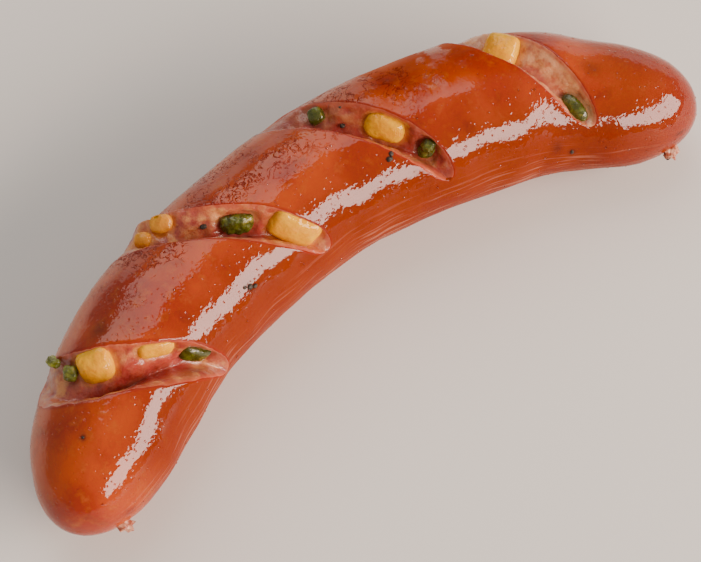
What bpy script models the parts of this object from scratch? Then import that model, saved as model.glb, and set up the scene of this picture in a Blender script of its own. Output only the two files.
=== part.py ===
"""One grilled cheese and green pepper sausage, bent sideways, scored four times and lying flat.

Metres, +Z up. The ends of the bend lie along X, the outer side of the bend faces +Y, and the sausage
rests on Z = 0. Places on the skin are given by a distance along the bend, from the thick end, and an
angle round it, from straight up and positive towards the outer side.
"""

import math
from collections import namedtuple

import bmesh
import bpy
import numpy as np
from mathutils import Matrix, Vector

# The bend: an even curve, with a sharper turn at three of the cuts, where the outer side has opened.
LENGTH = 0.1775
START_HEADING = math.radians(41.8)
BEND_RADIUS = 0.169
TURN_SPAN = 0.016
TURNS = ((0.046, math.radians(9.0)), (0.095, math.radians(5.8)), (0.143, math.radians(13.2)))

# Thickness, as the radius of the thick end and two gradual changes: place, span and change.
RADIUS = 0.0161
RADIUS_CHANGES = ((0.100, 0.040, 0.0004), (0.143, 0.030, -0.0024))
THICK_END_LENGTH = 0.050
THICK_END_BLUNTNESS = 3.5
THIN_END_LENGTH = 0.050
THIN_END_BLUNTNESS = 4.6
FLAT = 0.0009  # how far the underside is pressed flat where it rests

# Slow unevenness of a filled casing: height, waves along the whole length, waves round, phase.
SWELLS = ((0.00022, 5.0, 1, 0.4), (0.00016, 9.0, 2, 2.1), (0.00012, 14.0, 3, 4.4))

# The mesh of the skin.
POINTS_ROUND = 32
RING_SPACING = 0.0034
END_RINGS = 10

# A score cut. Its middle line lies at place - slant * sin(angle) - lean * cos(angle) along the bend.
# near and far are the angles where it ends, gap its widest mouth along the bend, depth its deepest point,
# swell how far the meat of its right wall stands out of the skin at the far end, and bluntness how broadly
# its near end closes.
Cut = namedtuple("Cut", "place slant lean near far gap depth swell bluntness")
CUTS = (
    Cut(0.0370, 0.0089, 0.0083, math.radians(-92), math.radians(88), 0.0116, 0.0095, 0.0006, 2.2),
    Cut(0.0691, 0.0145, 0.0014, math.radians(-70), math.radians(84), 0.0106, 0.0072, 0.0030, 2.2),
    Cut(0.1038, 0.0139, 0.0000, math.radians(-67), math.radians(76), 0.0102, 0.0078, 0.0006, 1.7),
    Cut(0.1440, 0.0132, 0.0000, math.radians(-50), math.radians(80), 0.0112, 0.0058, 0.0012, 1.8),
)
FAR_BLUNTNESS = 3.0
DEPTH_FULLNESS = 0.7
CLOSED_GAP = 0.0006
UNDERSIDE_GAP = 0.0060

# Towards its far end the blade ran out: where that starts, its span and the share of the depth it costs.
RUN_OUT_START = 0.25
RUN_OUT_SPAN = 0.6
RUN_OUT_LOSS = 0.55

# The swollen meat: where it starts along the cut and how soon it rises and falls, then the same across it.
SWELL_START = 0.1
SWELL_RISE = 0.5
SWELL_FALL = 0.4
SWELL_WALL_RISE = 0.4
SWELL_WALL_FALL = 0.25
SWELL_AT_LIP = 0.35

# Section of a cut, from its left lip to its right one: share of the gap, share of the depth.
CUT_SECTION = (
    (0.00, 0.00),
    (0.06, 0.06),
    (0.14, 0.22),
    (0.21, 0.58),
    (0.28, 0.90),
    (0.36, 1.00),
    (0.54, 0.78),
    (0.77, 0.44),
    (1.00, 0.00),
)

# Diced cheese and pepper that show in the cuts. cut counts from 0 at the thick end, around is the angle in
# degrees and across the share of the gap. size is the length along the cut, the height up the wall and the
# thickness, and sink the share of the thickness that lies in the meat. turn is its turn on the wall in
# degrees, square how boxy it is, and bend how far it is curled, as a share of half its thickness.
Dice = namedtuple("Dice", "name cut around across size sink turn square bend")
CHEESE = (
    Dice("cheese_1_left", 0, 20, 0.78, (0.0076, 0.0074, 0.0048), 0.66, 8, 3.2, 0.0),
    Dice("cheese_1_middle", 0, -24, 0.84, (0.0072, 0.0042, 0.0036), 0.70, 0, 3.6, 0.0),
    Dice("cheese_2_edge", 1, 49, 0.40, (0.0034, 0.0032, 0.0024), 0.76, 0, 2.8, 0.0),
    Dice("cheese_2_left", 1, 41, 0.70, (0.0046, 0.0038, 0.0024), 0.78, 10, 2.8, 0.0),
    Dice("cheese_2_right", 1, -44, 0.62, (0.0104, 0.0070, 0.0054), 0.60, -8, 4.2, 0.0),
    Dice("cheese_3", 2, -11, 0.70, (0.0082, 0.0058, 0.0046), 0.66, -8, 3.0, 0.0),
    Dice("cheese_4", 3, 34, 0.64, (0.0068, 0.0066, 0.0052), 0.62, 12, 4.5, 0.0),
)
PEPPER = (
    Dice("pepper_1_curl", 0, 57, 0.86, (0.0032, 0.0022, 0.0020), 0.30, -38, 3.0, 0.5),
    Dice("pepper_1_dice", 0, 43, 0.70, (0.0028, 0.0028, 0.0024), 0.50, 4, 3.6, 0.0),
    Dice("pepper_1_strip", 0, -62, 0.68, (0.0062, 0.0036, 0.0028), 0.52, 0, 4.5, 0.2),
    Dice("pepper_2", 1, -6, 0.64, (0.0074, 0.0043, 0.0028), 0.52, 0, 3.0, 0.6),
    Dice("pepper_3_dice", 2, 35, 0.74, (0.0035, 0.0035, 0.0028), 0.55, 35, 4.0, 0.0),
    Dice("pepper_3_flake", 2, -43, 0.70, (0.0032, 0.0050, 0.0024), 0.55, 14, 2.6, 0.4),
    Dice("pepper_4", 3, -38, 0.40, (0.0078, 0.0038, 0.0026), 0.52, 0, 1.7, 0.4),
)
DICE_CELLS = 3
POCKET_CLEARANCE = 0.0003
WOBBLE = 0.07  # unevenness of a diced piece, as a share of its size
WOBBLE_WAVES = (3.1, 2.7, 2.3)

# The twisted stubs of casing at the ends: place along the bend, angle round it.
STUBS = ((0.0050, math.radians(-112)), (LENGTH - 0.0045, math.radians(-112)))
STUB_SECTION = ((-0.0012, 0.0019), (0.0004, 0.0014), (0.0010, 0.0010), (0.0017, 0.0013))  # height, radius
STUB_PLEATS = 5
STUB_PLEAT_DEPTH = 0.14

# Finishes: sRGB colour, roughness.
CASING_FINISH = ("#B9420F", 0.28)
CHEESE_FINISH = ("#E5A02A", 0.35)
PEPPER_FINISH = ("#5F7418", 0.35)

PATH_STEPS = 1420
SHARP_ANGLE = math.radians(38)


def smooth_step(t):
    t = np.clip(t, 0.0, 1.0)
    return t * t * (3.0 - 2.0 * t)


def heading(s):
    turned = np.asarray(s, float) / BEND_RADIUS
    for place, angle in TURNS:
        turned = turned + angle * smooth_step((s - place) / TURN_SPAN + 0.5)
    return START_HEADING - turned


def traced_path():
    """Distances along the bend and the plan position at each, by adding up short steps."""
    s = np.linspace(0.0, LENGTH, PATH_STEPS + 1)
    middle = heading((s[1:] + s[:-1]) / 2)
    step = LENGTH / PATH_STEPS
    x = np.concatenate([[0.0], np.cumsum(np.cos(middle) * step)])
    y = np.concatenate([[0.0], np.cumsum(np.sin(middle) * step)])
    return s, x, y


PATH_S, PATH_X, PATH_Y = traced_path()


def body_radius(s):
    r = np.full(np.shape(s), RADIUS)
    for place, span, change in RADIUS_CHANGES:
        r = r + change * smooth_step((s - place) / span + 0.5)
    return r


def end_rounding(distance, length, bluntness):
    left = np.clip(1.0 - distance / length, 0.0, 1.0)
    return np.sqrt(1.0 - left**bluntness)


def skin_radius(s, angle):
    r = body_radius(s)
    for height, along, around, phase in SWELLS:
        r = r + height * np.sin(2 * math.pi * along * s / LENGTH + phase) * np.cos(around * angle + phase)
    r = r * end_rounding(s, THICK_END_LENGTH, THICK_END_BLUNTNESS)
    return r * end_rounding(LENGTH - s, THIN_END_LENGTH, THIN_END_BLUNTNESS)


def place_at(s, angle, depth=0.0):
    """The point at that distance along the bend and angle round it, depth below the skin."""
    s, angle = np.broadcast_arrays(np.clip(s, 0.0, LENGTH), angle)
    turn = heading(s)
    r = skin_radius(s, angle) - depth
    out = r * np.sin(angle)
    x = np.interp(s, PATH_S, PATH_X) - np.sin(turn) * out
    y = np.interp(s, PATH_S, PATH_Y) + np.cos(turn) * out
    z = body_radius(s) - FLAT + r * np.cos(angle)
    return np.stack([x, y, np.maximum(z, 0.0)], axis=-1)


def cut_share(cut, angle):
    """-1 at the cut's near end, 1 at its far end."""
    return (angle - (cut.near + cut.far) / 2) / ((cut.far - cut.near) / 2)


def cut_gap(cut, angle):
    share = cut_share(cut, angle)
    bluntness = np.where(share < 0.0, cut.bluntness, FAR_BLUNTNESS)
    share = np.abs(share)
    inside = np.sqrt(np.clip(1.0 - share**bluntness, 0.0, 1.0))
    half = (cut.far - cut.near) / 2
    outside = smooth_step((share - 1.0) * half / (math.pi - half))
    return CLOSED_GAP + (cut.gap - CLOSED_GAP) * inside + UNDERSIDE_GAP * outside


def cut_line(cut, angle, across):
    """Distance along the bend of the line that runs at that share of the cut's gap."""
    middle = cut.place - cut.slant * np.sin(angle) - cut.lean * np.cos(angle)
    return middle + (across - 0.5) * cut_gap(cut, angle)


def cut_depth(cut, angle, across):
    """How deep below the skin the wall lies, less what the meat of the right wall has swollen out."""
    share = cut_share(cut, angle)
    fall = np.clip(1.0 - share**2, 0.0, 1.0) ** DEPTH_FULLNESS
    run_out = 1.0 - RUN_OUT_LOSS * smooth_step((share - RUN_OUT_START) / RUN_OUT_SPAN)
    section = np.interp(across, [f for f, _ in CUT_SECTION], [d for _, d in CUT_SECTION])
    along = smooth_step((share - SWELL_START) / SWELL_RISE) * smooth_step((1.0 - share) / SWELL_FALL)
    wall = smooth_step(across / SWELL_WALL_RISE)
    lip = smooth_step((1.0 - across) / SWELL_WALL_FALL + SWELL_AT_LIP)
    return cut.depth * fall * run_out * section - cut.swell * along * wall * lip


def wall_point(cut, angle, across):
    return place_at(cut_line(cut, angle, across), angle, cut_depth(cut, angle, across))


def skin_rings():
    """Every ring of the skin between the two tips, each a row of points."""
    angles = (np.arange(POINTS_ROUND) + 0.5) * 2 * math.pi / POINTS_ROUND - math.pi
    rings = []
    first_lip = cut_line(CUTS[0], angles, 0.0)
    for i in range(1, END_RINGS):
        share = 1.0 - math.cos(math.pi / 2 * i / END_RINGS)
        rings.append(place_at(first_lip * share, angles))
    for i, cut in enumerate(CUTS):
        rings += [wall_point(cut, angles, across) for across, _ in CUT_SECTION]
        if i + 1 < len(CUTS):
            start, end = cut_line(cut, angles, 1.0), cut_line(CUTS[i + 1], angles, 0.0)
            count = round(float(np.mean(end - start)) / RING_SPACING)
            for k in range(1, count):
                rings.append(place_at(start + (end - start) * k / count, angles))
    last_lip = cut_line(CUTS[-1], angles, 1.0)
    for i in range(1, END_RINGS):
        share = math.sin(math.pi / 2 * i / END_RINGS)
        rings.append(place_at(last_lip + (LENGTH - last_lip) * share, angles))
    return rings


def new_object(name, points, faces, material):
    mesh = bpy.data.meshes.new(name)
    mesh.from_pydata([tuple(p) for p in points], [], faces)
    mesh.validate()
    mesh.materials.append(material)
    obj = bpy.data.objects.new(name, mesh)
    bpy.context.scene.collection.objects.link(obj)
    return obj


def shade_round(obj):
    obj.data.shade_smooth()
    obj.data.set_sharp_from_angle(angle=SHARP_ANGLE)


def ring_faces(ring_count):
    """Quads between rings of points, and a fan to the pole before the first and after the last."""
    faces = []
    n = POINTS_ROUND
    for i in range(ring_count - 1):
        for j in range(n):
            k = (j + 1) % n
            near, far = 1 + i * n, 1 + (i + 1) * n
            faces.append((near + j, near + k, far + k, far + j))
    last, end = 1 + (ring_count - 1) * n, 1 + ring_count * n
    for j in range(n):
        k = (j + 1) % n
        faces.append((0, 1 + k, 1 + j))
        faces.append((end, last + j, last + k))
    return faces


def make_skin(material):
    rings = skin_rings()
    tips = [place_at(np.array([s]), np.array([0.0])) for s in (0.0, LENGTH)]
    points = np.concatenate([tips[0], *rings, tips[1]])
    obj = new_object("sausage", points, ring_faces(len(rings)), material)
    fix_normals(obj)
    return obj


def fix_normals(obj):
    bm = bmesh.new()
    bm.from_mesh(obj.data)
    bmesh.ops.recalc_face_normals(bm, faces=bm.faces)
    bm.to_mesh(obj.data)
    bm.free()


def make_stub(name, s, angle, material):
    """A pleated stub of twisted casing, standing out of the skin and running on into it."""
    foot = Vector(place_at(s, angle).tolist())
    axis_height = float(body_radius(s)) - FLAT
    middle = Vector((np.interp(s, PATH_S, PATH_X), np.interp(s, PATH_S, PATH_Y), axis_height))
    outward = (foot - middle).normalized()
    turn = outward.to_track_quat("Z", "Y").to_matrix().to_4x4()
    sides = STUB_PLEATS * 2
    points = [(0.0, 0.0, STUB_SECTION[0][0]), (0.0, 0.0, STUB_SECTION[-1][0])]
    for height, radius in STUB_SECTION:
        for j in range(sides):
            a = 2 * math.pi * j / sides
            r = radius * (1.0 + STUB_PLEAT_DEPTH * math.cos(STUB_PLEATS * a))
            points.append((r * math.cos(a), r * math.sin(a), height))
    faces = []
    for i in range(len(STUB_SECTION) - 1):
        for j in range(sides):
            k = (j + 1) % sides
            low, high = 2 + i * sides, 2 + (i + 1) * sides
            faces.append((low + j, low + k, high + k, high + j))
    last = 2 + (len(STUB_SECTION) - 1) * sides
    for j in range(sides):
        k = (j + 1) % sides
        faces.append((0, 2 + k, 2 + j))
        faces.append((1, last + j, last + k))
    obj = new_object(name, points, faces, material)
    obj.data.transform(Matrix.Translation(foot) @ turn)
    return obj


def block_points(cells):
    """A cube from -1 to 1 with every face in cells by cells squares, as points and quads."""
    bm = bmesh.new()
    bmesh.ops.create_cube(bm, size=2.0)
    bmesh.ops.subdivide_edges(bm, edges=bm.edges, cuts=cells - 1, use_grid_fill=True)
    points = [v.co.copy() for v in bm.verts]
    faces = [[v.index for v in f.verts] for f in bm.faces]
    bm.free()
    return points, faces


def wall_frame(dice):
    """Where a diced piece sits on its cut's wall: along the cut, up the wall, and out of the meat."""
    step = 0.02
    cut = CUTS[dice.cut]
    around = math.radians(dice.around)

    def at(turned, raised):
        return Vector(wall_point(cut, around + turned, dice.across + raised).tolist())

    here = at(0, 0)
    along = (at(-step, 0) - at(step, 0)).normalized()
    up = at(0, step) - at(0, -step)
    out = along.cross(up).normalized()
    up = out.cross(along)
    return here, along, up, out


def make_dice(dice, material, grow=0.0):
    """A diced piece with worn corners, sunk in the wall. grow makes its pocket's cutter."""
    here, along, up, out = wall_frame(dice)
    half = [size / 2 for size in dice.size]
    points, faces = block_points(DICE_CELLS)
    phase = float(sum(ord(letter) for letter in dice.name))
    placed = []
    for p in points:
        norm = sum(abs(c) ** dice.square for c in p) ** (1.0 / dice.square)
        q = [c / norm for c in p]
        waves = [math.sin(rate * c + phase) for rate, c in zip(WOBBLE_WAVES, q)]
        wobble = 1.0 + WOBBLE * (waves[0] * waves[1] + waves[2])
        x, y, z = (c * (h * wobble + grow) for c, h in zip(q, half))
        curl = dice.bend * half[2] * (0.5 - (x / half[0]) ** 2)
        placed.append((x, y, z + curl))
    lift = dice.size[2] * (0.5 - dice.sink)
    axes = Matrix((along, up, out)).transposed().to_4x4()
    obj = new_object(dice.name, placed, faces, material)
    spin = Matrix.Rotation(math.radians(dice.turn), 4, "Z")
    obj.data.transform(Matrix.Translation(here + out * lift) @ axes @ spin)
    fix_normals(obj)
    return obj


def joined_by_boolean(obj, others, operation):
    """Applies one Boolean with a collection of others to obj, and removes them."""
    group = bpy.data.collections.new("operands")
    for other in others:
        group.objects.link(other)
    modifier = obj.modifiers.new(operation.lower(), "BOOLEAN")
    modifier.operation = operation
    modifier.operand_type = "COLLECTION"
    modifier.collection = group
    modifier.solver = "EXACT"
    graph = bpy.context.evaluated_depsgraph_get()
    made = bpy.data.meshes.new_from_object(obj.evaluated_get(graph))
    obj.modifiers.remove(modifier)
    obj.data = made
    for other in others:
        bpy.data.objects.remove(other)
    bpy.data.collections.remove(group)


def finish(name, colour_and_roughness):
    colour, roughness = colour_and_roughness
    channels = [int(colour[i : i + 2], 16) / 255 for i in (1, 3, 5)]
    linear = [c / 12.92 if c <= 0.04045 else ((c + 0.055) / 1.055) ** 2.4 for c in channels]
    material = bpy.data.materials.new(name)
    material.use_nodes = True
    shader = material.node_tree.nodes["Principled BSDF"]
    shader.inputs["Base Color"].default_value = (*linear, 1.0)
    shader.inputs["Roughness"].default_value = roughness
    shader.inputs["Metallic"].default_value = 0.0
    return material


def centre_over_origin(objects):
    """Moves everything so that the whole stands with the middle of its plan box over the origin."""
    corners = np.array([v.co for obj in objects for v in obj.data.vertices])
    middle = (corners.min(axis=0) + corners.max(axis=0)) / 2
    shift = Matrix.Translation((-middle[0], -middle[1], -corners.min(axis=0)[2]))
    for obj in objects:
        obj.data.transform(shift)


def main():
    for obj in list(bpy.data.objects):
        bpy.data.objects.remove(obj)
    casing = finish("grilled_casing", CASING_FINISH)
    cheese = finish("melted_cheese", CHEESE_FINISH)
    pepper = finish("green_pepper", PEPPER_FINISH)
    sausage = make_skin(casing)
    stubs = [make_stub(f"stub_{i}", s, angle, casing) for i, (s, angle) in enumerate(STUBS)]
    joined_by_boolean(sausage, stubs, "UNION")
    placed = [(dice, cheese) for dice in CHEESE] + [(dice, pepper) for dice in PEPPER]
    pockets = [make_dice(dice, casing, POCKET_CLEARANCE) for dice, _ in placed]
    joined_by_boolean(sausage, pockets, "DIFFERENCE")
    pieces = [make_dice(dice, material) for dice, material in placed]
    for obj in (sausage, *pieces):
        shade_round(obj)
    centre_over_origin([sausage, *pieces])


main()
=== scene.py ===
"""The looks of one grilled cheese and green pepper sausage, scored four times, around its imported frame.

Metres, +Z up. Places on the skin are given as on the frame's own solid: by the distance along the bend from
the thick end, and the angle round it from straight up, positive towards the outer side of the bend.
"""

import math
from collections import namedtuple

import bmesh
import bpy
import numpy as np
from mathutils import Matrix, Vector
from mathutils.bvhtree import BVHTree

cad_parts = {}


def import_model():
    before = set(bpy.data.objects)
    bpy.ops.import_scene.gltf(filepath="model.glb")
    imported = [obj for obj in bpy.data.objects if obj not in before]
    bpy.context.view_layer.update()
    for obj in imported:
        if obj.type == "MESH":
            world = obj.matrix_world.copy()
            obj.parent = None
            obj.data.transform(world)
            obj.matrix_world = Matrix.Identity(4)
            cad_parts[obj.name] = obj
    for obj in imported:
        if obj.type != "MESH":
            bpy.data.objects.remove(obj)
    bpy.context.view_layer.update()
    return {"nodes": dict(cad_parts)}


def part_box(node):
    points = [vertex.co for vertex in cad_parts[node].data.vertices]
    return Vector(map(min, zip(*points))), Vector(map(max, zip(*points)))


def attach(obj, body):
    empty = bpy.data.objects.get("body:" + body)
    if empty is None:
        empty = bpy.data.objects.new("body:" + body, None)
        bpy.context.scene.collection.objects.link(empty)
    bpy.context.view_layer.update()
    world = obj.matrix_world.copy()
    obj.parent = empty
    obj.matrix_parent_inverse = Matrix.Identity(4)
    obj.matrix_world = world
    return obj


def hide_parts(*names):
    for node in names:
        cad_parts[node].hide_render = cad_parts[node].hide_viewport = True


# The photograph's view: a long lens, from the side of the thick end, high up.
VIEW_AZIMUTH = -37.38  # degrees, as is the elevation
VIEW_ELEVATION = 62.0
VIEW_DISTANCE = 0.5953
VIEW_POINT = Vector((-0.0036, -0.0115, 0.0151))
LENS_MM = 150.0
SENSOR_MM = 36.0
TOWARDS_CAMERA = 180  # as an azimuth of direction()

# The bend, and its sharper turns at three of the cuts: place and angle.
LENGTH = 0.1775
START_HEADING = math.radians(41.8)
BEND_RADIUS = 0.169
TURN_SPAN = 0.016
TURNS = ((0.046, math.radians(9.0)), (0.095, math.radians(5.8)), (0.143, math.radians(13.2)))

# Thickness, as the radius of the thick end and two gradual changes: place, span and change.
RADIUS = 0.0161
RADIUS_CHANGES = ((0.100, 0.040, 0.0004), (0.143, 0.030, -0.0024))
END_LENGTH = 0.050
THICK_END_BLUNTNESS = 3.5
THIN_END_BLUNTNESS = 4.6
FLAT = 0.0009
SWELLS = ((0.00022, 5.0, 1, 0.4), (0.00016, 9.0, 2, 2.1), (0.00012, 14.0, 3, 4.4))

# The score cuts, as in the frame's solid: place, slant, lean, near and far end, gap, depth, swell, and how
# blunt the near end is.
Cut = namedtuple("Cut", "place slant lean near far gap depth swell bluntness")
CUTS = (
    Cut(0.0370, 0.0089, 0.0083, math.radians(-92), math.radians(88), 0.0116, 0.0095, 0.0006, 2.2),
    Cut(0.0691, 0.0145, 0.0014, math.radians(-70), math.radians(84), 0.0106, 0.0072, 0.0030, 2.2),
    Cut(0.1038, 0.0139, 0.0000, math.radians(-67), math.radians(76), 0.0102, 0.0078, 0.0006, 1.7),
    Cut(0.1440, 0.0132, 0.0000, math.radians(-50), math.radians(80), 0.0112, 0.0058, 0.0012, 1.8),
)
FAR_BLUNTNESS = 3.0
DEPTH_FULLNESS = 0.7
CLOSED_GAP = 0.0006
UNDERSIDE_GAP = 0.0060
RUN_OUT_START = 0.25
RUN_OUT_SPAN = 0.6
RUN_OUT_LOSS = 0.55
SWELL_START = 0.1
SWELL_RISE = 0.5
SWELL_FALL = 0.4
SWELL_WALL_RISE = 0.4
SWELL_WALL_FALL = 0.25
SWELL_AT_LIP = 0.35
CUT_SECTION = (
    (0.00, 0.00),
    (0.06, 0.06),
    (0.14, 0.22),
    (0.21, 0.58),
    (0.28, 0.90),
    (0.36, 1.00),
    (0.54, 0.78),
    (0.77, 0.44),
    (1.00, 0.00),
)
SECTION_EASE = 0.04  # how far the corners of the section are rounded, as a share of the gap
SECTION_SAMPLES = 9

# The mesh of the skin, fine enough for wrinkles a millimetre apart.
POINTS_ROUND = 204
RING_SPACING = 0.00046
THICK_END_RINGS = 72
THIN_END_RINGS = 84
CUT_RINGS = 40
LIP_EDGE = 0.00022  # thickness of the casing where a cut shows its edge
LIP_FRAY = 0.00030
FRAY_WAVES = (7, 13, 23, 41, 67)

# How soon the fray, the casing's edge and the meat's relief come in from the ends of a cut, as shares of half
# its length, and the relief also from its lips, as a share of the gap.
FRAY_SPAN = 0.20
EDGE_SPAN = 0.12
WALL_SPAN = 0.15
WALL_EDGE = 0.12
SHADE_FULL_DEPTH = 0.006  # depth at which the painted shade at the bottom of a cut is fullest
FAR_AWAY = 1.0  # distance given to points that have no lip near them

# Relief of the casing and of the cut meat.
BODY_RELIEF = {
    "Swell Size": 0.0110,
    "Swell Height": 0.00045,
    "Dimple Size": 0.0026,
    "Dimple Height": 0.00009,
    "Wrinkle Size": 0.0012,
    "Wrinkle Stretch": 0.05,
    "Wrinkle Height": 0.00012,
    "Lump Size": 0.0034,
    "Lump Height": 0.0010,
    "Grain Size": 0.0013,
    "Grain Height": 0.00035,
}
WRINKLED_FROM = 0.9  # angle from straight up, in radians
WRINKLED_FULLY = 1.5
RESTING_BELOW = 0.0003  # height over the table up to which the casing lies flat
RELIEF_FULL_ABOVE = 0.003

# The meat drawn up round each diced piece.
FILLET_HEIGHT = 0.0007
FILLET_WIDTH = 0.0012
FILLET_REACH = 0.006

# Diced pieces: their relief, how far out of the meat a piece keeps its height, and the share by which what
# stands higher has sunk back. Two slim pieces of cheese have melted nearly flat, and some pepper is paler.
ROUNDING_LEVELS = 3
CHEESE_RELIEF = {"Lump Size": 0.0026, "Lump Height": 0.0005, "Grain Size": 0.0009, "Grain Height": 0.00014}
PEPPER_RELIEF = {"Lump Size": 0.0014, "Lump Height": 0.0010, "Grain Size": 0.0006, "Grain Height": 0.00016}
SMOOTH_RELIEF = {"Lump Size": 0.0020, "Lump Height": 0.0003, "Grain Size": 0.0006, "Grain Height": 0.00010}
SMOOTH_PEPPER = ("pepper_1_strip", "pepper_4", "pepper_3_dice")
PALE_PEPPER = {"pepper_1_curl": 0.7, "pepper_1_dice": 0.4}
MELT_FROM = 0.0007
CHEESE_MELT = 0.5
PEPPER_MELT = 0.15
MELTED_FLAT = ("cheese_2_edge", "cheese_2_left")
FLAT_MELT_FROM = 0.0003
FLAT_SINK = 0.0002
FLAT_STAIN = 0.5

# Dark marks under the film: distance along the bend, angle round it, radius and strength.
MARKS = (
    (0.0140, 5.5, 0.0007, 1.0),
    (0.0200, 70.0, 0.0014, 0.5),
    (0.0357, 23.8, 0.0022, 0.55),
    (0.0621, -48.5, 0.0012, 0.8),
    (0.1543, 2.9, 0.0022, 0.45),
    (0.1462, -69.8, 0.0018, 0.5),
    (0.1505, -75.5, 0.0009, 0.8),
    (0.1745, -71.3, 0.0010, 0.7),
)

# Single specks: distance along the bend, or share across a cut, then the angle, the cut or -1, and radius.
SPECKS = (
    (0.68, 18.0, 2, 0.00075),
    (0.72, 18.0, 1, 0.00070),
    (0.1052, -34.0, -1, 0.00075),
    (0.1060, -31.0, -1, 0.00045),
    (0.0621, -48.5, -1, 0.00065),
    (0.0632, -51.0, -1, 0.00050),
    (0.0610, -46.0, -1, 0.00040),
    (0.1505, -75.5, -1, 0.00045),
    (0.1019, 20.7, -1, 0.00040),
    (0.0140, 5.5, -1, 0.00030),
)
SPECK_SEED = 11
SPECK_WIDTHS = (0.7, 1.2)
SPECK_FLATNESS = 0.55
SPECK_LUMPS = 0.06

# Beads of fat on the casing.
BEADS = {"Per Square Metre": 26000, "Smallest": 0.00018, "Largest": 0.00055, "Flatness": 0.5, "Sink": 0.00003}
BEAD_SEED = 3
BEADS_ABOVE = 0.004  # height over the table

# The nubs of casing at the ends: place along the bend and angle round it, then the heights and radii of
# their section.
STUBS = ((0.0050, math.radians(-112)), (LENGTH - 0.0045, math.radians(-112)))
STUB_SECTION = ((-0.0016, 0.0009), (0.0001, 0.0018), (0.0009, 0.0011), (0.0018, 0.0013))
STUB_FLATNESS = 0.6
STUB_PLEATS = 5
STUB_FINE_PLEATS = 13
STUB_PLEAT_DEPTH = 0.10
STUB_FRILL = 0.0004
STUB_RINGS = 14
STUB_SIDES = 60

PATH_STEPS = 1420
BOX_RINGS = 600
BOX_ANGLES = 181
JOINED_WITHIN = 1e-6
NORMAL_STEP = 0.002  # how far below the skin a second point is taken, to find the way out

# The floor, the soft light from all round, and the lamps: name, azimuth, elevation, distance, width, height,
# watts, lean and colour.
FLOOR_HALF = 4.0
FLOOR_DROP = 0.00005
SKY_COLOUR = "#F0ECE8"
SKY_STRENGTH = 0.46
LIGHTS = (
    ("streak_light", 116, 25, 1.1, 1.35, 0.42, 33.0, 0, "#FFE8D8"),
    ("window_light", -20, 56, 1.3, 0.70, 1.30, 7.0, 25, "#FFF4EC"),
    ("back_card", 5, 8, 1.5, 2.6, 0.50, 3.4, 0, "#FFF4EC"),
)


def smooth_step(t):
    t = np.clip(t, 0.0, 1.0)
    return t * t * (3.0 - 2.0 * t)


def heading(s):
    turned = np.asarray(s, float) / BEND_RADIUS
    for place, angle in TURNS:
        turned = turned + angle * smooth_step((s - place) / TURN_SPAN + 0.5)
    return START_HEADING - turned


def traced_path():
    """Distances along the bend and the plan position at each, by adding up short steps."""
    s = np.linspace(0.0, LENGTH, PATH_STEPS + 1)
    middle = heading((s[1:] + s[:-1]) / 2)
    step = LENGTH / PATH_STEPS
    x = np.concatenate([[0.0], np.cumsum(np.cos(middle) * step)])
    y = np.concatenate([[0.0], np.cumsum(np.sin(middle) * step)])
    return s, x, y


PATH_S, PATH_X, PATH_Y = traced_path()


def body_radius(s):
    r = np.full(np.shape(s), RADIUS)
    for place, span, change in RADIUS_CHANGES:
        r = r + change * smooth_step((s - place) / span + 0.5)
    return r


def end_rounding(distance, bluntness):
    left = np.clip(1.0 - distance / END_LENGTH, 0.0, 1.0)
    return np.sqrt(1.0 - left**bluntness)


def skin_radius(s, angle):
    r = body_radius(s)
    for height, along, around, phase in SWELLS:
        r = r + height * np.sin(2 * math.pi * along * s / LENGTH + phase) * np.cos(around * angle + phase)
    return r * end_rounding(s, THICK_END_BLUNTNESS) * end_rounding(LENGTH - s, THIN_END_BLUNTNESS)


def place_at(s, angle, depth=0.0):
    """The point at that distance along the bend and angle round it, depth below the skin."""
    s, angle = np.broadcast_arrays(np.clip(s, 0.0, LENGTH), angle)
    turn = heading(s)
    r = skin_radius(s, angle) - depth
    out = r * np.sin(angle)
    x = np.interp(s, PATH_S, PATH_X) - np.sin(turn) * out
    y = np.interp(s, PATH_S, PATH_Y) + np.cos(turn) * out
    z = body_radius(s) - FLAT + r * np.cos(angle)
    return np.stack([x, y, np.maximum(z, 0.0)], axis=-1)


def cut_share(cut, angle):
    """-1 at the cut's near end, 1 at its far end."""
    return (angle - (cut.near + cut.far) / 2) / ((cut.far - cut.near) / 2)


def how_open(cut, angle, span):
    """0 at the ends of a cut, and 1 once span of half its length inside them."""
    return smooth_step((1.0 - np.abs(cut_share(cut, angle))) / span)


def cut_gap(cut, angle):
    share = cut_share(cut, angle)
    bluntness = np.where(share < 0.0, cut.bluntness, FAR_BLUNTNESS)
    share = np.abs(share)
    inside = np.sqrt(np.clip(1.0 - share**bluntness, 0.0, 1.0))
    half = (cut.far - cut.near) / 2
    outside = smooth_step((share - 1.0) * half / (math.pi - half))
    return CLOSED_GAP + (cut.gap - CLOSED_GAP) * inside + UNDERSIDE_GAP * outside


def cut_line(cut, angle, across):
    """Distance along the bend of the line that runs at that share of the cut's gap."""
    middle = cut.place - cut.slant * np.sin(angle) - cut.lean * np.cos(angle)
    return middle + (across - 0.5) * cut_gap(cut, angle)


def eased_section(across):
    """The section's share of the depth, with its corners rounded."""
    places, depths = zip(*CUT_SECTION)
    spread = np.linspace(-SECTION_EASE, SECTION_EASE, SECTION_SAMPLES)
    return float(np.mean(np.interp(across + spread, places, depths)))


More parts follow.
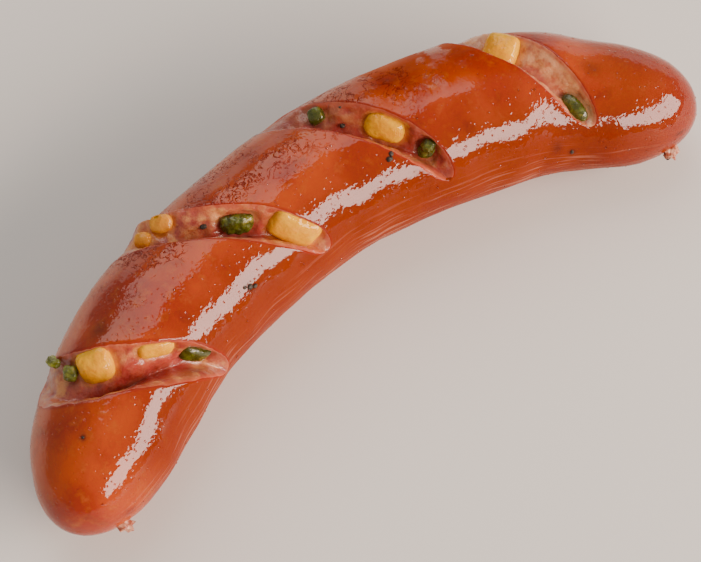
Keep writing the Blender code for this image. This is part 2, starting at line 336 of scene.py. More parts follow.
def cut_depth(cut, angle, across):
    """How deep below the skin the wall lies, less what the meat of the right wall has swollen out."""
    share = cut_share(cut, angle)
    fall = np.clip(1.0 - share**2, 0.0, 1.0) ** DEPTH_FULLNESS
    run_out = 1.0 - RUN_OUT_LOSS * smooth_step((share - RUN_OUT_START) / RUN_OUT_SPAN)
    section = eased_section(across)
    along = smooth_step((share - SWELL_START) / SWELL_RISE) * smooth_step((1.0 - share) / SWELL_FALL)
    wall = smooth_step(across / SWELL_WALL_RISE)
    lip = smooth_step((1.0 - across) / SWELL_WALL_FALL + SWELL_AT_LIP)
    return cut.depth * fall * run_out * section - cut.swell * along * wall * lip


def wavy(angle, seed, strength):
    """A seeded uneven line round the bend, to fray the edge of a cut."""
    draw = np.random.RandomState(seed)
    line = np.zeros_like(angle)
    for waves in FRAY_WAVES:
        line = line + draw.normal() * np.sin(waves * angle + draw.uniform(0, 2 * math.pi)) / math.sqrt(waves)
    return strength * line


def skin_grid():
    """Every ring of the skin, with each ring's share of the way across a cut, or -1 off the cuts."""
    angles = (np.arange(POINTS_ROUND) + 0.5) * 2 * math.pi / POINTS_ROUND - math.pi
    lines, depths, shares, owners = [], [], [], []

    def keep(line, depth, share, owner):
        lines.append(line)
        depths.append(depth + np.zeros_like(angles))
        shares.append(share)
        owners.append(owner)

    def lip(index, across):
        fray = wavy(angles, 10 * index + round(across), LIP_FRAY) * how_open(CUTS[index], angles, FRAY_SPAN)
        return cut_line(CUTS[index], angles, across) + fray

    first = lip(0, 0.0)
    for i in range(1, THICK_END_RINGS):
        keep(first * (1.0 - math.cos(math.pi / 2 * i / THICK_END_RINGS)), 0.0, -1.0, -1)
    for i, cut in enumerate(CUTS):
        start, end = lip(i, 0.0), lip(i, 1.0)
        for k in range(CUT_RINGS + 1):
            across = k / CUT_RINGS
            depth = cut_depth(cut, angles, across)
            if 0 < k < CUT_RINGS:
                depth = depth + LIP_EDGE * how_open(cut, angles, EDGE_SPAN)
            keep(start + (end - start) * across, depth, across, i)
        if i + 1 < len(CUTS):
            start, end = end, lip(i + 1, 0.0)
            count = round(float(np.mean(end - start)) / RING_SPACING)
            for k in range(1, count):
                keep(start + (end - start) * k / count, 0.0, -1.0, -1)
    last = lip(len(CUTS) - 1, 1.0)
    for i in range(1, THIN_END_RINGS):
        keep(last + (LENGTH - last) * math.sin(math.pi / 2 * i / THIN_END_RINGS), 0.0, -1.0, -1)
    return angles, np.array(lines), np.array(depths), np.array(shares), np.array(owners)


def frame_shift():
    """From the bend's own start to the frame's origin, read from the sausage's box."""
    low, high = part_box("sausage")
    rings = np.linspace(0, LENGTH, BOX_RINGS)[:, None]
    angles = np.linspace(-math.pi, math.pi, BOX_ANGLES)[None, :]
    points = place_at(rings, angles).reshape(-1, 3)
    middle = (points.min(axis=0) + points.max(axis=0)) / 2
    return np.array([(low.x + high.x) / 2 - middle[0], (low.y + high.y) / 2 - middle[1], 0.0])


def mesh_object(name, points, faces):
    mesh = bpy.data.meshes.new(name)
    mesh.from_pydata([tuple(p) for p in points], [], faces)
    mesh.shade_smooth()
    obj = bpy.data.objects.new(name, mesh)
    bpy.context.scene.collection.objects.link(obj)
    return obj


def store(obj, name, values, domain="POINT", kind="FLOAT"):
    attribute = obj.data.attributes.new(name, kind, domain)
    attribute.data.foreach_set("value", np.ascontiguousarray(values))


def distances(tree, points, wanted, reach):
    """From each wanted point to the surface, or reach where it is farther."""
    found = np.full(len(points), reach)
    for i in np.where(wanted)[0]:
        distance = tree.find_nearest(Vector(points[i]), reach)[3]
        if distance is not None:
            found[i] = distance
    return found


def draw_up_meat(obj, wall, cheese_tree, pepper_tree):
    """Raises the meat round each diced piece, and stores how near the cheese is."""
    count = len(obj.data.vertices)
    points, normals = np.empty(count * 3), np.empty(count * 3)
    obj.data.vertices.foreach_get("co", points)
    obj.data.vertices.foreach_get("normal", normals)
    points, normals = points.reshape(-1, 3), normals.reshape(-1, 3)
    cheese = distances(cheese_tree, points, wall > 0, FILLET_REACH)
    pepper = distances(pepper_tree, points, wall > 0, FILLET_REACH)
    rise = FILLET_HEIGHT * np.exp(-((np.minimum(cheese, pepper) / FILLET_WIDTH) ** 2)) * wall
    points += normals * rise[:, None]
    obj.data.vertices.foreach_set("co", points.reshape(-1))
    store(obj, "near_cheese", cheese)


def grid_faces(ring_count):
    """The quads between rings of POINTS_ROUND points, and the fans to the point at each end."""
    n = POINTS_ROUND
    ring = np.arange(ring_count - 1)[:, None]
    spot = np.arange(n)[None, :]
    beside = (spot + 1) % n
    near, far = 1 + ring * n, 1 + (ring + 1) * n
    quads = np.stack([near + spot, near + beside, far + beside, far + spot], axis=-1).reshape(-1, 4)
    last, end = 1 + (ring_count - 1) * n, 1 + ring_count * n
    fans = [(0, 1 + (j + 1) % n, 1 + j) for j in range(n)]
    fans += [(end, last + j, last + (j + 1) % n) for j in range(n)]
    return quads.tolist() + fans


def cut_masks(angles, lines, shares, owners):
    """Which faces are cut meat, how much of each point's relief is meat's, and how far the nearest lip is."""
    cut_face = np.zeros((len(lines) - 1, POINTS_ROUND), bool)
    wall = np.zeros(lines.shape)
    lip = np.full(lines.shape, FAR_AWAY)
    face_angles = angles + math.pi / POINTS_ROUND
    for i, cut in enumerate(CUTS):
        rings = np.where(owners == i)[0]
        cut_face[rings[0] : rings[-1]] = np.abs(cut_share(cut, face_angles)) < 1.0
        edges = np.minimum(shares[rings], 1.0 - shares[rings])
        wall[rings] = how_open(cut, angles, WALL_SPAN) * smooth_step(edges / WALL_EDGE)[:, None]
        is_open = np.abs(cut_share(cut, angles)) < 1.0
        for across in (0.0, 1.0):
            distance = np.abs(lines - cut_line(cut, angles, across))
            lip = np.minimum(lip, np.where(is_open, distance, FAR_AWAY))
    return cut_face, wall, lip


def dark_marks(lines, around):
    mark = np.zeros(lines.shape)
    for place, angle, radius, strength in MARKS:
        away = np.hypot(lines - place, RADIUS * (around - math.radians(angle)))
        mark = np.maximum(mark, strength * np.exp(-((away / radius) ** 2)))
    return mark


def with_tips(values, first=0.0, last=0.0):
    """The values of the grid's points, with one for the point at each end."""
    return np.concatenate([[first], values.reshape(-1), [last]])


def make_body_mesh(shift, cheese_tree, pepper_tree):
    """The skin and the walls of the cuts as one closed grid, with what the finishes read from it."""
    angles, lines, depths, shares, owners = skin_grid()
    around = np.broadcast_to(angles, lines.shape)
    tips = [place_at(np.array([s]), np.array([0.0])) for s in (0.0, LENGTH)]
    points = np.concatenate([tips[0], place_at(lines, around, depths).reshape(-1, 3), tips[1]]) + shift
    obj = mesh_object("sausage_skin", points, grid_faces(len(lines)))
    cut_face, wall, lip = cut_masks(angles, lines, shares, owners)
    in_fans = np.zeros(2 * POINTS_ROUND, bool)
    store(obj, "cut_face", np.concatenate([cut_face.reshape(-1), in_fans]), "FACE", "BOOLEAN")
    store(obj, "wall", with_tips(wall))
    store(obj, "lip", with_tips(lip, FAR_AWAY, FAR_AWAY))
    store(obj, "along", with_tips(lines, 0.0, LENGTH))
    store(obj, "around", with_tips(around))
    store(obj, "deep", with_tips(np.clip(depths / SHADE_FULL_DEPTH, 0.0, 1.0)))
    store(obj, "mark", with_tips(dark_marks(lines, around)))
    draw_up_meat(obj, with_tips(wall), cheese_tree, pepper_tree)
    return obj


def feed(tree, node, inputs):
    """Gives the node's sockets their values, or links them to the outputs that feed them."""
    for key, value in dict(inputs).items():
        if isinstance(value, bpy.types.NodeSocket):
            tree.links.new(value, node.inputs[key])
        else:
            node.inputs[key].default_value = value


def add(tree, kind, inputs=(), **settings):
    """Adds a node with its settings. inputs maps a socket to a value, or to the output that feeds it."""
    node = tree.nodes.new(kind)
    for name, value in settings.items():
        setattr(node, name, value)
    feed(tree, node, inputs)
    return node


def linear(hex_colour):
    """An sRGB hex colour as the linear RGBA that a shader reads."""
    channels = [int(hex_colour[i : i + 2], 16) / 255 for i in (1, 3, 5)]
    return tuple(c / 12.92 if c <= 0.04045 else ((c + 0.055) / 1.055) ** 2.4 for c in channels) + (1.0,)


def new_material(name):
    material = bpy.data.materials.new(name)
    material.use_nodes = True
    tree = material.node_tree
    return material, tree, tree.nodes["Principled BSDF"]


def noise(tree, place, size, detail=2.0, rough=0.5, warp=0.0):
    """A noise whose features are about size metres across, from 0 to 1."""
    found = add(
        tree,
        "ShaderNodeTexNoise",
        {"Vector": place, "Scale": 1.0 / size, "Detail": detail, "Roughness": rough, "Distortion": warp},
    )
    return found.outputs["Fac"]


def ramp(tree, value, low, high, start=0.0, end=1.0):
    """value from low..high taken to start..end, with soft shoulders."""
    spread = add(
        tree,
        "ShaderNodeMapRange",
        {"Value": value, "From Min": low, "From Max": high, "To Min": start, "To Max": end},
        interpolation_type="SMOOTHSTEP",
    )
    return spread.outputs["Result"]


def blend(tree, factor, first, second):
    """The first colour where factor is 0 and the second where it is 1."""
    mix = add(tree, "ShaderNodeMix", {"Factor": factor}, data_type="RGBA")
    for key, colour in (("A", first), ("B", second)):
        socket = next(s for s in mix.inputs if s.name == key and s.type == "RGBA")
        if isinstance(colour, str):
            socket.default_value = linear(colour)
        else:
            tree.links.new(colour, socket)
    return next(s for s in mix.outputs if s.type == "RGBA")


def math_node(tree, operation, first, second=0.0):
    return add(tree, "ShaderNodeMath", {0: first, 1: second}, operation=operation).outputs["Value"]


def plus(tree, first, second):
    return math_node(tree, "ADD", first, second)


def times(tree, first, *others):
    for other in others:
        first = math_node(tree, "MULTIPLY", first, other)
    return first


def rest_of(tree, value):
    """What value leaves of one."""
    return math_node(tree, "SUBTRACT", 1.0, value)


def band(tree, value, rise, fall):
    """Full between two soft shoulders, each given as ramp takes it."""
    return times(tree, ramp(tree, value, *rise), ramp(tree, value, *fall))


def mottle(tree, place, colour, tone, size, low, high, amount=1.0, detail=3, rough=0.5):
    """The colour with patches of that tone, about size metres across, where the noise passes low..high."""
    patches = ramp(tree, noise(tree, place, size, detail, rough), low, high, 0, amount)
    return blend(tree, patches, colour, tone)


def attribute(tree, name):
    return add(tree, "ShaderNodeAttribute", attribute_name=name).outputs["Fac"]


def bump(tree, height, distance, below=None):
    """A bump of that height in metres, laid over the bump below it."""
    inputs = {"Height": height, "Distance": distance, "Strength": 1.0}
    if below is not None:
        inputs["Normal"] = below
    return add(tree, "ShaderNodeBump", inputs).outputs["Normal"]


def casing_sides(tree, around, along):
    """The inner and outer side of the bend, faded out where they would meet: underneath and at the ends."""
    ends = band(tree, along, (0.001, 0.020), (0.177, 0.158))
    inner = times(tree, ends, ramp(tree, around, -2.8, -1.8))
    outer = times(tree, ends, ramp(tree, around, 2.3, 1.4))
    return inner, outer


def curled_creases(tree, place, around, along):
    """Curls a few millimetres long, where the film has shrunk over the fat, on the outer side."""
    crease = math_node(tree, "SUBTRACT", noise(tree, place, 0.0030, 3, 0.6, 1.2), 0.5)
    crease = ramp(tree, math_node(tree, "ABSOLUTE", crease), 0.040, 0.0)
    patches = ramp(tree, noise(tree, place, 0.0075, 2), 0.42, 0.54)
    across = band(tree, around, (-0.2, 0.25), (1.8, 1.3))
    lengthwise = band(tree, along, (0.038, 0.050), (0.128, 0.112))
    return times(tree, crease, patches, across, lengthwise)


def make_casing():
    # Hog casing, grilled and wet with fat: a thin tight film over orange red meat. It mirrors sharply but not
    # evenly, because fine crazing and pits break the reflections up.
    material, tree, shader = new_material("grilled_casing")
    place = add(tree, "ShaderNodeTexCoord").outputs["Object"]
    around, along = attribute(tree, "around"), attribute(tree, "along")
    inner_side, outer_side = casing_sides(tree, around, along)

    # Broad patches of orange and red, and paler fat that shows through from below.
    colour = mottle(tree, place, "#A83E07", "#902806", 0.012, 0.38, 0.62)
    colour = mottle(tree, place, colour, "#B25810", 0.0030, 0.50, 0.75, 0.5, 4, 0.6)
    colour = mottle(tree, place, colour, "#721606", 0.0060, 0.60, 0.75, 0.7, 2)

    # Browner down the inner side of the bend and over the thin end, and paler down the outer side, where the
    # pale pink is a painted sheen.
    inner = times(tree, inner_side, ramp(tree, around, -0.1, -0.9, 0, 0.85))
    colour = blend(tree, inner, colour, "#722404")
    colour = blend(tree, ramp(tree, along, 0.148, 0.164, 0, 0.6), colour, "#6E1E04")
    # Painted sheen: the outer side is painted pale pink where the broad light lies on it.
    outer = times(tree, outer_side, ramp(tree, around, 0.6, 1.3, 0, 0.75))
    colour = blend(tree, outer, colour, "#D07C58")

    # Long dark and pale streaks, 0.8 mm wide, where the casing is gathered along the sides; the pale ones are
    # partly the casing's own and partly painted highlight.
    across, stretched = times(tree, around, RADIUS), times(tree, along, 0.045)
    streak_place = add(tree, "ShaderNodeCombineXYZ", {"X": across, "Y": stretched}).outputs["Vector"]
    streaks = noise(tree, streak_place, 0.0008, 3, 0.55)
    gathered = band(tree, math_node(tree, "ABSOLUTE", around), (1.0, 1.6, 0, 0.30), (2.9, 2.2))
    colour = blend(tree, times(tree, ramp(tree, streaks, 0.52, 0.66), gathered), colour, "#680E0A")
    # Pale streaks: partly the casing's own paler folds, partly painted highlight along them.
    colour = blend(tree, times(tree, ramp(tree, streaks, 0.46, 0.34), gathered), colour, "#C88468")

    # Creases are painted darker, partly their own darker film and partly painted shade in their grooves, and
    # the edge of the casing at a cut is darker, 0.5 mm wide. Bits of spice and burnt fat show through the
    # film.
    crease = curled_creases(tree, place, around, along)
    # Painted shade in the creases, over their own darker film.
    colour = blend(tree, times(tree, crease, 0.8), colour, "#641006")
    colour = blend(tree, ramp(tree, attribute(tree, "lip"), 0.0009, 0.0002, 0, 0.7), colour, "#86200C")
    colour = blend(tree, attribute(tree, "mark"), colour, "#3A1408")

    # Shallow hollows 2.6 and 1.1 mm across tear the edges of the reflections, and pits and creases dot them.
    relief = bump(tree, noise(tree, place, 0.0026, 2), 0.00014)
    uneven = ramp(tree, noise(tree, place, 0.0060, 2), 0.38, 0.62, 0.35, 1.0)
    relief = bump(tree, times(tree, noise(tree, place, 0.0011, 1, 0.4, 0.6), uneven), 0.00008, relief)
    pits = add(tree, "ShaderNodeTexVoronoi", {"Vector": place, "Scale": 1 / 0.0013, "Randomness": 1.0})
    relief = bump(tree, ramp(tree, pits.outputs["Distance"], 0.06, 0.24), 0.00005, relief)
    relief = bump(tree, rest_of(tree, crease), 0.00007, relief)

    # The inner side is drier, with a ragged border, and so are creases and patches before the last cut.
    border = plus(tree, around, times(tree, noise(tree, place, 0.0040, 3), 0.3))
    inner_dry = times(tree, inner_side, ramp(tree, border, -0.70, -0.90, 0, 0.65))
    patches = ramp(tree, noise(tree, place, 0.0070, 4, 0.6), 0.61, 0.54, 0, 0.85)
    before_last = band(tree, along, (0.106, 0.112), (0.146, 0.138))
    patches = times(tree, before_last, ramp(tree, around, -0.15, 0.10), patches)
    creases_wet = ramp(tree, crease, 0.2, 0.8, 1.0, 0.25)
    wet = times(tree, 0.85, rest_of(tree, inner_dry), rest_of(tree, patches), creases_wet)
    feed(tree, shader, {
        "Base Color": colour,
        "Roughness": ramp(tree, noise(tree, place, 0.0012, 3), 0.35, 0.7, 0.13, 0.27),
        "Normal": relief,
        "Specular IOR Level": 0.0,
        "Subsurface Weight": 0.35,
        "Subsurface Radius": (1.0, 0.35, 0.15),
        "Subsurface Scale": 0.0020,
        "Coat Weight": wet,
        "Coat Roughness": 0.03,
        "Coat Normal": relief,
    })
    return material


def make_meat():
    # Coarse pork, cooked and wet where it was cut: salmon, with pale fat and a darker, redder bottom that is
    # painted shade.
    material, tree, shader = new_material("cut_pork")
    place = add(tree, "ShaderNodeTexCoord").outputs["Object"]
    along = attribute(tree, "along")
    colour = mottle(tree, place, "#B4603E", "#983C32", 0.0045, 0.40, 0.62)
    colour = mottle(tree, place, colour, "#D49458", 0.0032, 0.44, 0.68, 0.85, 4, 0.6)
    colour = mottle(tree, place, colour, "#983424", 0.0011, 0.60, 0.75, 0.7)

    # The third cut is redder, and the fourth fatter.
    redder = band(tree, along, (0.080, 0.090), (0.128, 0.118, 0, 0.5))
    colour = blend(tree, redder, colour, "#8E2E22")
    fat = ramp(tree, noise(tree, place, 0.0028, 3), 0.4, 0.6, 0.1, 0.8)
    colour = blend(tree, times(tree, ramp(tree, along, 0.128, 0.138), fat), colour, "#E0A474")
    # Painted shade: the meat is darker and redder the deeper it lies in the cut.
    colour = blend(tree, ramp(tree, attribute(tree, "deep"), 0.55, 1.0, 0, 0.8), colour, "#A23630")

    # Cheese has run a little way into the meat round each piece, and the lip is redder.
    run = plus(tree, attribute(tree, "near_cheese"), times(tree, noise(tree, place, 0.0020, 3), 0.0016))
    colour = blend(tree, ramp(tree, run, 0.0022, 0.0008, 0, 0.75), colour, "#DC8C38")
    colour = blend(tree, ramp(tree, attribute(tree, "lip"), 0.0010, 0.0003, 0, 0.6), colour, "#BA5030")
    relief = bump(tree, noise(tree, place, 0.0016, 4, 0.55), 0.00030)
    relief = bump(tree, noise(tree, place, 0.0005, 2), 0.00005, relief)
    feed(tree, shader, {
        "Base Color": colour,
        "Roughness": ramp(tree, noise(tree, place, 0.0016, 2), 0.35, 0.7, 0.28, 0.5),
        "Normal": relief,
        "IOR": 1.42,
        "Subsurface Weight": 0.4,
        "Subsurface Radius": (1.0, 0.45, 0.25),
        "Subsurface Scale": 0.0018,
        "Coat Weight": 0.7,
        "Coat Roughness": 0.06,
        "Coat Normal": relief,
    })
    return material


def make_cheese():
    # Diced yellow cheese, softened by the heat: smooth, waxy and slightly see-through, with an oily film.
    material, tree, shader = new_material("softened_cheese")
    place = add(tree, "ShaderNodeTexCoord").outputs["Object"]
    colour = mottle(tree, place, "#F4B000", "#FAC608", 0.0034, 0.40, 0.65, 1.0, 2)
    colour = mottle(tree, place, colour, "#E09008", 0.0020, 0.56, 0.75, 0.7)

    # Its rim, where it meets the meat, is painted darker as painted shade, and that of a flat piece is
    # stained by the meat that it sits in.
    above = attribute(tree, "above")
    shaded_rim = plus(tree, above, times(tree, noise(tree, place, 0.0016, 3), 0.0010))
    # Painted shade round the rim.
    colour = blend(tree, ramp(tree, shaded_rim, 0.0009, 0.0004, 0, 0.6), colour, "#D08818")
    edge = plus(tree, above, times(tree, noise(tree, place, 0.0022, 3), 0.0004))
    stain = times(tree, attribute(tree, "stained"), ramp(tree, edge, 0.0005, 0.0))
    colour = blend(tree, stain, colour, "#C07038")
    relief = bump(tree, noise(tree, place, 0.0014, 2), 0.00026)
    feed(tree, shader, {
        "Base Color": colour,
        "Roughness": ramp(tree, noise(tree, place, 0.0012, 2), 0.3, 0.7, 0.18, 0.38),
        "Normal": relief,
        "Specular IOR Level": 0.0,
        "Subsurface Weight": 0.30,
        "Subsurface Radius": (1.0, 0.7, 0.25),
        "Subsurface Scale": 0.0018,
        "Coat Weight": 0.6,
        "Coat Roughness": 0.05,
        "Coat Normal": relief,
    })
    return material


def make_pepper():
    # Green pepper, diced and cooked to olive: wet flesh, paler where it was cut.
    material, tree, shader = new_material("cooked_green_pepper")
    place = add(tree, "ShaderNodeTexCoord").outputs["Object"]
    colour = mottle(tree, place, "#3C4008", "#545A10", 0.0018, 0.40, 0.62)
    colour = mottle(tree, place, colour, "#80782C", 0.0024, 0.58, 0.72, 0.7, 2)
    colour = mottle(tree, place, colour, "#22260A", 0.0009, 0.60, 0.72, 0.7, 2)
    uneven = ramp(tree, noise(tree, place, 0.0016, 2), 0.35, 0.55, 0.3, 1.0)
    colour = blend(tree, times(tree, attribute(tree, "pale"), uneven), colour, "#A0A434")
    feed(tree, shader, {
        "Base Color": colour,
        "Roughness": ramp(tree, noise(tree, place, 0.0010, 2), 0.3, 0.7, 0.16, 0.4),
        "Normal": bump(tree, noise(tree, place, 0.0009, 3), 0.00016),
        "IOR": 1.42,
        "Subsurface Weight": 0.25,
        "Subsurface Radius": (0.4, 1.0, 0.2),
        "Subsurface Scale": 0.0008,
        "Coat Weight": 0.5,
        "Coat Roughness": 0.08,
    })
    return material


def make_plain(name, dark, light, size, roughness, coat, height):
    """A finish of two mingled tones with a fine grain."""
    material, tree, shader = new_material(name)
    place = add(tree, "ShaderNodeTexCoord").outputs["Object"]
    feed(tree, shader, {
        "Base Color": mottle(tree, place, dark, light, size, 0.40, 0.62),
        "Roughness": roughness,
        "Normal": bump(tree, noise(tree, place, size / 3, 3), height),
        "Coat Weight": coat,
        "Coat Roughness": 0.1,
    })
    return material


def make_dry_casing():
    # The twisted ends of the casing, dried pale and papery by the grill.
    return make_plain("dry_casing", "#9C4C30", "#CC9478", 0.0010, 0.45, 0.2, 0.0001)


def make_spice():
    # Cracked pepper and char: nearly black, rough and dull.
    return make_plain("burnt_spice", "#1C0E08", "#3A2A14", 0.0005, 0.55, 0.05, 0.00008)


def make_fat():
    # Rendered fat standing in small clear beads, which catch the lights as sparks.
    material, tree, shader = new_material("clear_fat")
    feed(tree, shader, {
        "Base Color": linear("#FFE9C8"),
        "Roughness": 0.03,
        "IOR": 1.46,
        "Transmission Weight": 1.0,
    })
    return material


def new_geometry_tree(name, sizes):
    """A Geometry Nodes tree with a geometry input and named size inputs, in metres unless they are counts."""
    tree = bpy.data.node_groups.new(name, "GeometryNodeTree")
    tree.interface.new_socket("Geometry", in_out="INPUT", socket_type="NodeSocketGeometry")
    tree.interface.new_socket("Geometry", in_out="OUTPUT", socket_type="NodeSocketGeometry")
    for size in sizes:
        tree.interface.new_socket(size, in_out="INPUT", socket_type="NodeSocketFloat")
    return tree, add(tree, "NodeGroupInput"), add(tree, "NodeGroupOutput")


def through_nodes(obj, tree, sizes, name):
    """Runs obj through the tree with those sizes, and returns the result as a plain mesh object."""
    modifier = obj.modifiers.new(tree.name, "NODES")
    modifier.node_group = tree
    for item in tree.interface.items_tree:
        if item.name in sizes:
            modifier[item.identifier] = float(sizes[item.name])
    graph = bpy.context.evaluated_depsgraph_get()
    mesh = bpy.data.meshes.new_from_object(obj.evaluated_get(graph))
    obj.modifiers.remove(modifier)
    made = bpy.data.objects.new(name, mesh)
    bpy.context.scene.collection.objects.link(made)
    mesh.name = name
    return made


def named(tree, name, kind="FLOAT"):
    return add(tree, "GeometryNodeInputNamedAttribute", {"Name": name}, data_type=kind).outputs["Attribute"]


def waves(tree, given, place, kind, detail):
    """A centred noise, of the size and height that the tree is given for that kind of relief."""
    scale = math_node(tree, "DIVIDE", 1.0, given.outputs[kind + " Size"])
    found = add(tree, "ShaderNodeTexNoise", {"Vector": place, "Scale": scale, "Detail": detail})
    centred = math_node(tree, "SUBTRACT", found.outputs["Fac"], 0.5)
    return times(tree, centred, given.outputs[kind + " Height"])


def pushed_out(tree, geometry, height):
    """The geometry moved along its normals by that height."""
    normal = add(tree, "GeometryNodeInputNormal").outputs["Normal"]
    offset = add(tree, "ShaderNodeVectorMath", {0: normal, "Scale": height}, operation="SCALE")
    inputs = {"Geometry": geometry, "Offset": offset.outputs["Vector"]}
    return add(tree, "GeometryNodeSetPosition", inputs).outputs["Geometry"]


def realized(tree, geometry):
    return add(tree, "GeometryNodeRealizeInstances", {"Geometry": geometry}).outputs["Geometry"]


def dressed(tree, geometry, material, faces=True):
    """The geometry with that material on those faces."""
    inputs = {"Geometry": geometry, "Selection": faces, "Material": material}
    return add(tree, "GeometryNodeSetMaterial", inputs).outputs["Geometry"]


def relief_tree(casing, meat):
    """Swells, dimples and side wrinkles in the casing, and lumps and grain in the meat of the cuts."""
    tree, given, out = new_geometry_tree("skin_relief", BODY_RELIEF)
    place = add(tree, "GeometryNodeInputPosition").outputs["Position"]
    wall, around = named(tree, "wall"), named(tree, "around")
    stretched = times(tree, named(tree, "along"), given.outputs["Wrinkle Stretch"])
    folded = add(tree, "ShaderNodeCombineXYZ", {"X": times(tree, around, RADIUS), "Y": stretched})
    side = ramp(tree, math_node(tree, "ABSOLUTE", around), WRINKLED_FROM, WRINKLED_FULLY)
    wrinkles = times(tree, waves(tree, given, folded.outputs["Vector"], "Wrinkle", 2.0), side)
    skin = plus(tree, waves(tree, given, place, "Swell", 2.0), waves(tree, given, place, "Dimple", 3.0))
    skin = plus(tree, skin, wrinkles)
    cut = plus(tree, waves(tree, given, place, "Lump", 2.0), waves(tree, given, place, "Grain", 3.0))
    height = plus(tree, times(tree, cut, wall), times(tree, skin, rest_of(tree, wall)))

    # What rests on the table stays flat.
    up = add(tree, "ShaderNodeSeparateXYZ", {"Vector": place}).outputs["Z"]
    clear = {"Value": up, "From Min": RESTING_BELOW, "From Max": RELIEF_FULL_ABOVE}
    height = times(tree, height, add(tree, "ShaderNodeMapRange", clear).outputs["Result"])
    body = realized(tree, pushed_out(tree, given.outputs["Geometry"], height))
    body = dressed(tree, body, casing)
    body = dressed(tree, body, meat, named(tree, "cut_face", "BOOLEAN"))
    tree.links.new(body, out.inputs["Geometry"])
    return tree


def beads_tree(material):
    """Small rounded beads strewn over the casing, clear of the table."""
    tree, given, out = new_geometry_tree("fat_beads", BEADS)
    on_skin = add(tree, "FunctionNodeBooleanMath", {0: named(tree, "cut_face", "BOOLEAN")}, operation="NOT")
    place = add(tree, "GeometryNodeInputPosition").outputs["Position"]
    up = add(tree, "ShaderNodeSeparateXYZ", {"Vector": place}).outputs["Z"]
    clear = add(tree, "FunctionNodeCompare", {"A": up, "B": BEADS_ABOVE}, operation="GREATER_THAN")
    both = {0: on_skin.outputs["Boolean"], 1: clear.outputs["Result"]}
    wanted = add(tree, "FunctionNodeBooleanMath", both, operation="AND").outputs["Boolean"]
    spread = add(tree, "GeometryNodeDistributePointsOnFaces", {
        "Mesh": given.outputs["Geometry"],
        "Selection": wanted,
        "Density": given.outputs["Per Square Metre"],
        "Seed": BEAD_SEED,
    })
    bead = add(tree, "GeometryNodeMeshIcoSphere", {"Radius": 0.5, "Subdivisions": 2})
    bead = add(tree, "GeometryNodeSetShadeSmooth", {"Geometry": bead.outputs["Mesh"]})
    widths = {"Min": given.outputs["Smallest"], "Max": given.outputs["Largest"], "Seed": BEAD_SEED + 1}
    size = add(tree, "FunctionNodeRandomValue", widths, data_type="FLOAT")
    width = next(s for s in size.outputs if s.type == "VALUE")
    thickness = times(tree, width, given.outputs["Flatness"])
    scale = add(tree, "ShaderNodeCombineXYZ", {"X": width, "Y": width, "Z": thickness})
    placed = add(tree, "GeometryNodeInstanceOnPoints", {
        "Points": spread.outputs["Points"],
        "Instance": bead.outputs["Geometry"],
        "Rotation": spread.outputs["Rotation"],
        "Scale": scale.outputs["Vector"],
    })
    down = add(tree, "ShaderNodeCombineXYZ", {"Z": times(tree, given.outputs["Sink"], -1.0)})
    inputs = {"Instances": placed.outputs["Instances"], "Translation": down.outputs["Vector"]}
    moved = add(tree, "GeometryNodeTranslateInstances", inputs).outputs["Instances"]
    tree.links.new(dressed(tree, realized(tree, moved), material), out.inputs["Geometry"])
    return tree


def dice_tree(name, material):
    """Uneven faces on a diced piece."""
    tree, given, out = new_geometry_tree(name, CHEESE_RELIEF)
    place = add(tree, "GeometryNodeInputPosition").outputs["Position"]
    height = plus(tree, waves(tree, given, place, "Lump", 2.0), waves(tree, given, place, "Grain", 2.0))
    piece = realized(tree, pushed_out(tree, given.outputs["Geometry"], height))
    tree.links.new(dressed(tree, piece, material), out.inputs["Geometry"])
    return tree


def closed_copy(node):
    """The node's loose triangles joined up, as a bmesh that faces outward."""
    bm = bmesh.new()
    bm.from_mesh(node.data)
    bmesh.ops.remove_doubles(bm, verts=bm.verts, dist=JOINED_WITHIN)
    bmesh.ops.recalc_face_normals(bm, faces=bm.faces)
    return bm


def mesh_of(bm, name):
    mesh = bpy.data.meshes.new(name)
    bm.to_mesh(mesh)
    bm.free()
    return mesh


def surface_tree(meshes):
    """A search tree over the surfaces of all those meshes."""
    whole = bmesh.new()
    for mesh in meshes:
        whole.from_mesh(mesh)
    tree = BVHTree.FromBMesh(whole)
    whole.free()
    return tree


def pieces_tree(nodes):
    parts = [mesh_of(closed_copy(node), "part") for node in nodes]
    tree = surface_tree(parts)
    for part in parts:
        bpy.data.meshes.remove(part)
    return tree


def height_above(tree, point):
    """How far point lies outside that surface, negative inside, and the way out."""
    spot, normal, _, distance = tree.find_nearest(point)
    return math.copysign(distance, (point - spot).dot(normal)), normal


def rounded_piece(node):
    """The frame's own diced piece with its corners rounded, brought back to its size."""
    mesh = mesh_of(closed_copy(node), node.name + "_soft")
    piece = bpy.data.objects.new(node.name + "_rounding", mesh)
    bpy.context.scene.collection.objects.link(piece)
    rounding = piece.modifiers.new("rounding", "SUBSURF")
    rounding.levels = ROUNDING_LEVELS
    rounding.render_levels = ROUNDING_LEVELS
    graph = bpy.context.evaluated_depsgraph_get()
    rounded = bpy.data.meshes.new_from_object(piece.evaluated_get(graph))
    piece.modifiers.remove(rounding)
    before = np.array([v.co for v in mesh.vertices])
    after = np.array([v.co for v in rounded.vertices])
    middle = Vector((before.min(axis=0) + before.max(axis=0)) / 2)
    grow = float(np.mean(np.ptp(before, axis=0) / np.ptp(after, axis=0)))
    rounded.transform(Matrix.Translation(middle) @ Matrix.Scale(grow, 4) @ Matrix.Translation(-middle))
    rounded.shade_smooth()
    piece.data = rounded
    return piece


